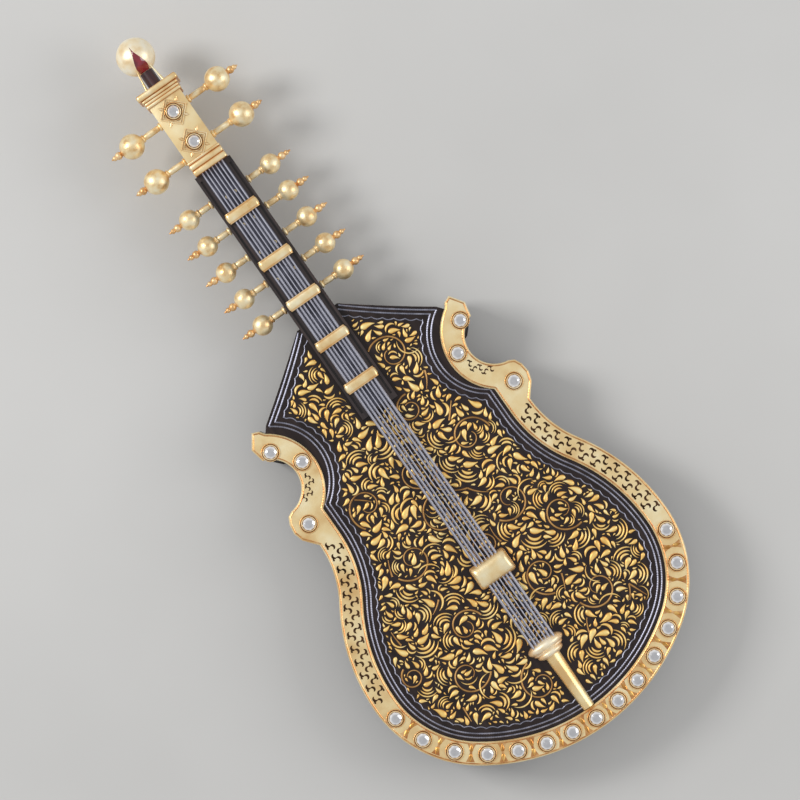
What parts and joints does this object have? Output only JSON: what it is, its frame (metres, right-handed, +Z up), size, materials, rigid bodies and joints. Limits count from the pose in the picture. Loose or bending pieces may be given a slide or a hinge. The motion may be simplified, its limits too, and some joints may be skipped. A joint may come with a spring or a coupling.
{
  "type": "sitar",
  "caption": "Jewelled long-necked sitar with a waisted flat-backed soundbox, gilt rim with clear stones, turning pegs and sliding frets over level strings.",
  "frame": {"origin": "on the flat back's plane, under the middle of the length and width", "axes": "+Y along the neck towards the finial, +Z up out of the soundboard, +X to the right seen from the strings' side"},
  "size_m": [0.36, 0.848, 0.0826],
  "materials": {
    "black_lacquer": "polished black lacquer",
    "dark_wood": "oiled dark wood",
    "bare_wood": "plain wood",
    "gilt_wood": "gold leaf over wood",
    "gold": "polished gold",
    "string_steel": "drawn wire",
    "clear_stone": "cut clear stone",
    "red_stone": "cut dark red stone"
  },
  "bodies": {
    "instrument": {"brace_lower": "bare_wood", "brace_upper": "bare_wood", "bridge": "gold", "finial_ball": "gilt_wood", "finial_drop": "red_stone", "finial_stem": "dark_wood", "finial_strips": "gold", "head_block": "bare_wood", "head_collets": "gold", "head_sleeve": "gold", "head_stones": "clear_stone", "head_top_collar": "gold", "main_string_1": "string_steel", "main_string_2": "string_steel", "main_string_3": "string_steel", "main_string_4": "string_steel", "main_string_5": "string_steel", "main_string_6": "string_steel", "main_string_7": "string_steel", "neck_plate": "dark_wood", "neck_shaft": "dark_wood", "nut_collar": "gold", "rim": "gilt_wood", "rim_collets": "gold", "rim_stones": "clear_stone", "soundboard": "black_lacquer", "soundbox_shell": "black_lacquer", "string_grommets": "gold", "sympathetic_strings": "string_steel", "tail_block": "bare_wood", "tail_cap": "gold", "tail_pin": "gold"},
    "fret_1": {"fret_1": "gold"},
    "fret_2": {"fret_2": "gold"},
    "fret_3": {"fret_3": "gold"},
    "fret_4": {"fret_4": "gold"},
    "fret_5": {"fret_5": "gold"},
    "head_peg_left_1": {"head_peg_left_1": "gilt_wood"},
    "head_peg_left_2": {"head_peg_left_2": "gilt_wood"},
    "head_peg_right_1": {"head_peg_right_1": "gilt_wood"},
    "head_peg_right_2": {"head_peg_right_2": "gilt_wood"},
    "side_peg_left_1": {"side_peg_left_1": "gilt_wood"},
    "side_peg_left_2": {"side_peg_left_2": "gilt_wood"},
    "side_peg_left_3": {"side_peg_left_3": "gilt_wood"},
    "side_peg_left_4": {"side_peg_left_4": "gilt_wood"},
    "side_peg_left_5": {"side_peg_left_5": "gilt_wood"},
    "side_peg_right_1": {"side_peg_right_1": "gilt_wood"},
    "side_peg_right_2": {"side_peg_right_2": "gilt_wood"},
    "side_peg_right_3": {"side_peg_right_3": "gilt_wood"},
    "side_peg_right_4": {"side_peg_right_4": "gilt_wood"},
    "side_peg_right_5": {"side_peg_right_5": "gilt_wood"}
  },
  "joints": [
    {"name": "side_peg_left_1_turn", "type": "hinge", "parent": "instrument", "child": "side_peg_left_1", "pos_m": [-0.0215, 0.2375, 0.05], "axis": [-1, 0, 0], "continuous": true},
    {"name": "side_peg_left_2_turn", "type": "hinge", "parent": "instrument", "child": "side_peg_left_2", "pos_m": [-0.0215, 0.2049, 0.05], "axis": [-1, 0, 0], "continuous": true},
    {"name": "side_peg_left_3_turn", "type": "hinge", "parent": "instrument", "child": "side_peg_left_3", "pos_m": [-0.0215, 0.1723, 0.05], "axis": [-1, 0, 0], "continuous": true},
    {"name": "side_peg_left_4_turn", "type": "hinge", "parent": "instrument", "child": "side_peg_left_4", "pos_m": [-0.0215, 0.1397, 0.05], "axis": [-1, 0, 0], "continuous": true},
    {"name": "side_peg_left_5_turn", "type": "hinge", "parent": "instrument", "child": "side_peg_left_5", "pos_m": [-0.0215, 0.1071, 0.05], "axis": [-1, 0, 0], "continuous": true},
    {"name": "head_peg_left_1_turn", "type": "hinge", "parent": "instrument", "child": "head_peg_left_1", "pos_m": [-0.0184, 0.3312, 0.057], "axis": [-1, 0, 0], "continuous": true},
    {"name": "head_peg_left_2_turn", "type": "hinge", "parent": "instrument", "child": "head_peg_left_2", "pos_m": [-0.0184, 0.2877, 0.057], "axis": [-1, 0, 0], "continuous": true},
    {"name": "side_peg_right_1_turn", "type": "hinge", "parent": "instrument", "child": "side_peg_right_1", "pos_m": [0.0215, 0.2375, 0.05], "axis": [1, 0, 0], "continuous": true},
    {"name": "side_peg_right_2_turn", "type": "hinge", "parent": "instrument", "child": "side_peg_right_2", "pos_m": [0.0215, 0.2049, 0.05], "axis": [1, 0, 0], "continuous": true},
    {"name": "side_peg_right_3_turn", "type": "hinge", "parent": "instrument", "child": "side_peg_right_3", "pos_m": [0.0215, 0.1723, 0.05], "axis": [1, 0, 0], "continuous": true},
    {"name": "side_peg_right_4_turn", "type": "hinge", "parent": "instrument", "child": "side_peg_right_4", "pos_m": [0.0215, 0.1397, 0.05], "axis": [1, 0, 0], "continuous": true},
    {"name": "side_peg_right_5_turn", "type": "hinge", "parent": "instrument", "child": "side_peg_right_5", "pos_m": [0.0215, 0.1071, 0.05], "axis": [1, 0, 0], "continuous": true},
    {"name": "head_peg_right_1_turn", "type": "hinge", "parent": "instrument", "child": "head_peg_right_1", "pos_m": [0.0184, 0.3384, 0.057], "axis": [1, 0, 0], "continuous": true},
    {"name": "head_peg_right_2_turn", "type": "hinge", "parent": "instrument", "child": "head_peg_right_2", "pos_m": [0.0184, 0.2949, 0.057], "axis": [1, 0, 0], "continuous": true},
    {"name": "fret_1_slide", "type": "slide", "parent": "instrument", "child": "fret_1", "axis": [0, 1, 0], "range_m": [-0.005, 0.005]},
    {"name": "fret_2_slide", "type": "slide", "parent": "instrument", "child": "fret_2", "axis": [0, 1, 0], "range_m": [-0.005, 0.005]},
    {"name": "fret_3_slide", "type": "slide", "parent": "instrument", "child": "fret_3", "axis": [0, 1, 0], "range_m": [-0.005, 0.005]},
    {"name": "fret_4_slide", "type": "slide", "parent": "instrument", "child": "fret_4", "axis": [0, 1, 0], "range_m": [-0.005, 0.005]},
    {"name": "fret_5_slide", "type": "slide", "parent": "instrument", "child": "fret_5", "axis": [0, 1, 0], "range_m": [-0.005, 0.005]}
  ]
}
